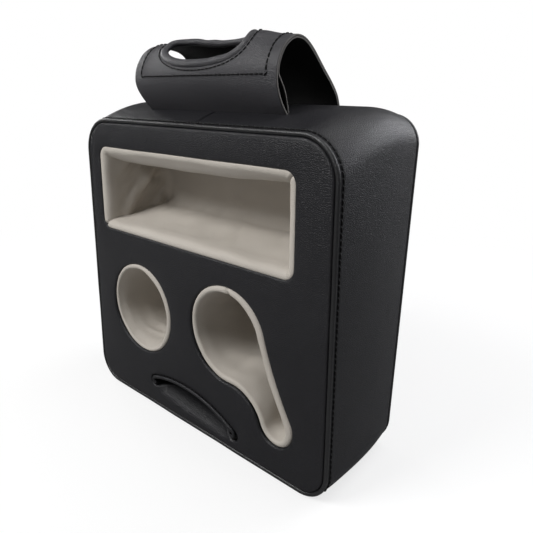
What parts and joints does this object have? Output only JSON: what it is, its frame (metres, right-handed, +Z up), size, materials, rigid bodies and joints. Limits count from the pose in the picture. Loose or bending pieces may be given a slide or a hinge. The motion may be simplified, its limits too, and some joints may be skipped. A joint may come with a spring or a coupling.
{
  "type": "car cup holder",
  "caption": "Foam-filled leather car cup holder block with a lined tray, a round cup pocket, a keyhole mug pocket, an arched slit pocket and a soft tissue tunnel on top.",
  "frame": {"origin": "middle of the base that it stands on", "axes": "+X to the right of the front, +Y from the front to the back, +Z up"},
  "size_m": [0.3042, 0.1188, 0.3527],
  "materials": {
    "black_leather": "fine-grained semi-matte imitation leather",
    "beige_leather": "smooth matte imitation leather",
    "foam": "cut foam"
  },
  "bodies": {
    "root": {"front_panel": "black_leather", "side_band": "black_leather", "back_panel": "black_leather", "front_piping": "black_leather", "rear_piping": "black_leather", "slit_lip": "black_leather", "slit_pocket": "black_leather", "sleeve_outer": "black_leather", "sleeve_lining": "black_leather", "hole_binding": "black_leather", "tray_wall": "beige_leather", "tray_floor": "beige_leather", "cup_wall": "beige_leather", "cup_floor": "beige_leather", "mug_wall": "beige_leather", "mug_floor": "beige_leather", "foam_core": "foam"}
  },
  "joints": []
}
